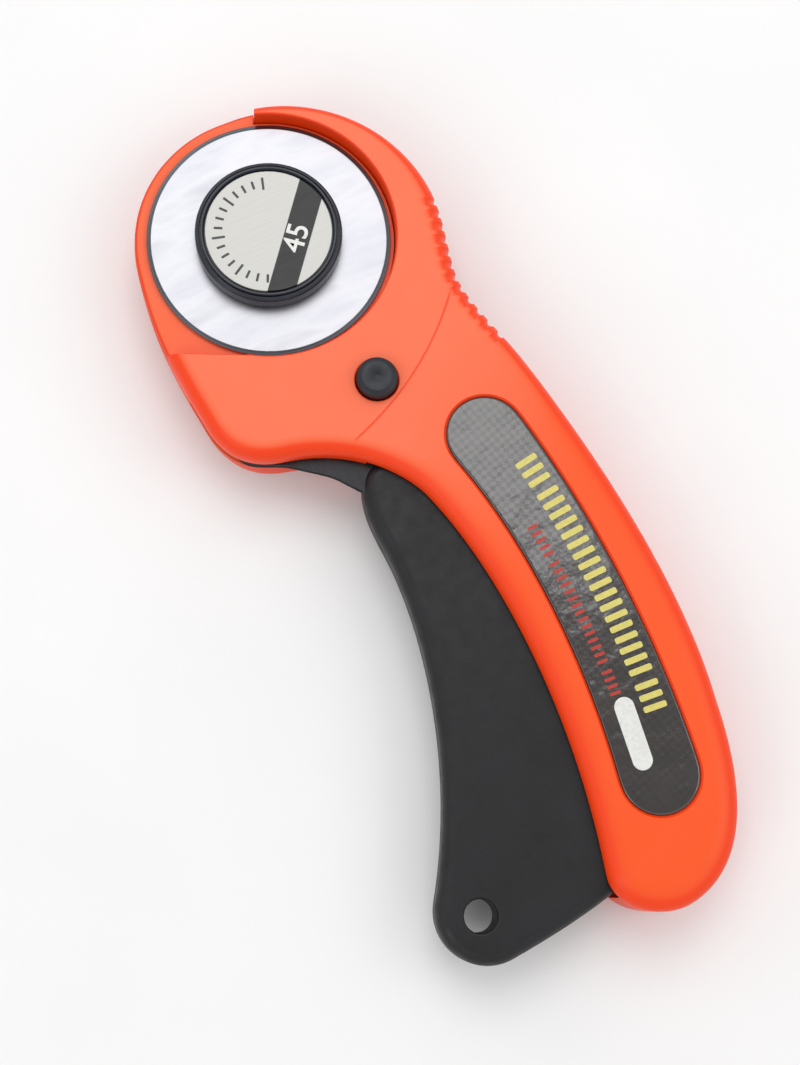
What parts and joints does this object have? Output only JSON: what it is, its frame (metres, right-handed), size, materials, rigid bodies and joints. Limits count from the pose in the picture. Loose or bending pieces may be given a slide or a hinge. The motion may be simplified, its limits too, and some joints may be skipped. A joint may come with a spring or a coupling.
{
  "type": "rotary cutter",
  "caption": "Hand-held rotary fabric cutter with a round blade, a squeeze lever grip, a blade nut and a push-through lock button.",
  "frame": {"origin": "centre of the footprint of the tool as it lies on its back, on the plane that its back rests on", "axes": "+Y along the tool towards the blade end, +Z out of the front face, along the blade's axis, +X to the right seen from the front"},
  "size_m": [0.0642, 0.1658, 0.0192],
  "materials": {
    "shell_front": "smooth moulded, satin gloss, salmon orange on the flat face and deeper orange on the edges",
    "shell_back": "smooth moulded, satin gloss, deep orange",
    "inlay": "glossy dark film inlay",
    "lever_steel": "black coated stamped steel",
    "grip": "fine matte moulded grain",
    "steel": "turned steel",
    "brass": "turned brass",
    "spring_steel": "drawn spring steel",
    "blade_steel": "ground and polished tool steel with a bevelled edge",
    "knob": "moulded, fairly glossy, bluish black",
    "face_plate": "satin silver-grey print on aluminium",
    "button": "moulded, fine matte grain"
  },
  "bodies": {
    "frame": {"front_shell": "shell_front", "back_shell": "shell_back", "label_plate": "inlay", "pivot_pin": "steel", "pivot_clip": "spring_steel", "pivot_washers": "steel", "return_spring": "spring_steel", "lock_detent_spring": "spring_steel", "shell_screws": "steel"},
    "lever": {"lever_plate": "lever_steel", "lever_grip": "grip", "pivot_bush": "brass", "blade_bolt": "steel", "blade_spacer": "steel", "wave_washer": "spring_steel"},
    "blade": {"blade": "blade_steel"},
    "nut": {"nut_knob": "knob", "nut_insert": "brass", "nut_disc": "face_plate"},
    "lock": {"lock_button": "button", "lock_rear_cap": "button"}
  },
  "joints": [
    {"name": "lever_squeeze", "type": "hinge", "parent": "frame", "child": "lever", "pos_m": [-0.02105, 0.02644, 0.0112], "axis": [0, 0, 1], "range_deg": [0, 9], "stiffness_Nm_per_rad": 0.6, "springref_deg": -20.05, "deforming": ["return_spring"]},
    {"name": "blade_spin", "type": "hinge", "parent": "lever", "child": "blade", "pos_m": [-0.0057, 0.0579, 0.01385], "axis": [0, 0, 1], "continuous": true},
    {"name": "nut_turn", "type": "hinge", "parent": "lever", "child": "nut", "pos_m": [-0.0057, 0.0579, 0.016], "axis": [0, 0, 1], "continuous": true},
    {"name": "lock_slide", "type": "slide", "parent": "frame", "child": "lock", "axis": [0, 0, -1], "range_m": [0, 0.0022], "deforming": ["lock_detent_spring"]}
  ]
}
